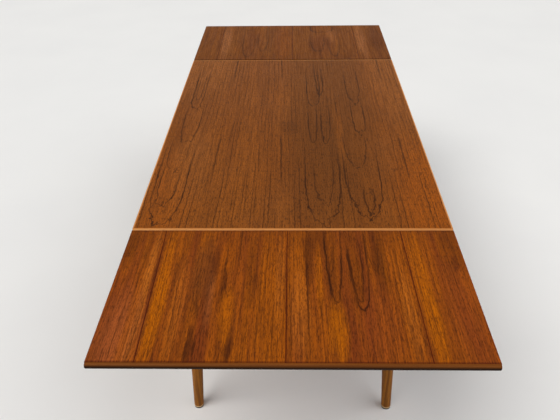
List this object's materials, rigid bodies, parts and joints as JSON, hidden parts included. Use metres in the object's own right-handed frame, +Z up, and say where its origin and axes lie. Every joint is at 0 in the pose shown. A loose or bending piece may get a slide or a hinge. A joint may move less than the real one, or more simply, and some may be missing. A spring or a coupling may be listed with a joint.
{
  "type": "draw leaf table",
  "caption": "Long rectangular wooden dining table with round tapered legs, a loose centre top on pegs and sliding end leaves carried on sloping bars.",
  "frame": {"origin": "on the floor, under the centre of the table", "axes": "+Z up, the table's length along Y with the near leaf at -Y, its width along X"},
  "size_m": [0.82, 2.1, 0.73],
  "materials": {
    "teak_top": "satin",
    "teak_leaf": "satin",
    "oak_apron": "satin",
    "oak_lip": "satin",
    "oak_leg": "satin",
    "beech_inner": "matt",
    "screw_steel": "satin",
    "felt": "matt",
    "glide_nylon": "matt"
  },
  "bodies": {
    "frame": {"leg_near_left": "oak_leg", "leg_near_right": "oak_leg", "leg_far_left": "oak_leg", "leg_far_right": "oak_leg", "glide_near_left": "glide_nylon", "glide_near_right": "glide_nylon", "glide_far_left": "glide_nylon", "glide_far_right": "glide_nylon", "side_apron_left": "oak_apron", "side_apron_right": "oak_apron", "end_apron_near": "oak_apron", "end_apron_far": "oak_apron", "corner_block_near_left": "beech_inner", "corner_block_near_right": "beech_inner", "corner_block_far_left": "beech_inner", "corner_block_far_right": "beech_inner", "corner_block_screws": "screw_steel", "bearer_near": "beech_inner", "bearer_far": "beech_inner", "centre_board": "beech_inner", "centre_board_screws": "screw_steel", "felt_strip_near": "felt", "felt_strip_far": "felt"},
    "main_top": {"top_panel": "teak_top", "top_lip_left": "oak_lip", "top_lip_right": "oak_lip", "top_lip_near": "oak_lip", "top_lip_far": "oak_lip", "top_peg_left": "beech_inner", "top_peg_right": "beech_inner"},
    "near_leaf": {"near_leaf_panel": "teak_leaf", "near_leaf_lip": "oak_lip", "near_loper_left": "beech_inner", "near_loper_right": "beech_inner", "near_stop_left": "beech_inner", "near_stop_right": "beech_inner", "near_loper_screws": "screw_steel"},
    "far_leaf": {"far_leaf_panel": "teak_leaf", "far_leaf_lip": "oak_lip", "far_loper_left": "beech_inner", "far_loper_right": "beech_inner", "far_stop_left": "beech_inner", "far_stop_right": "beech_inner", "far_loper_screws": "screw_steel"}
  },
  "joints": [
    {"name": "top_lift", "type": "slide", "parent": "frame", "child": "main_top", "axis": [0, 0, 1], "range_m": [0, 0.06]},
    {"name": "near_leaf_draw", "type": "slide", "parent": "frame", "child": "near_leaf", "axis": [0, -0.9994, 0.0333], "range_m": [0, 0.02]},
    {"name": "far_leaf_draw", "type": "slide", "parent": "frame", "child": "far_leaf", "axis": [0, 0.9994, 0.0333], "range_m": [0, 0.02]}
  ]
}
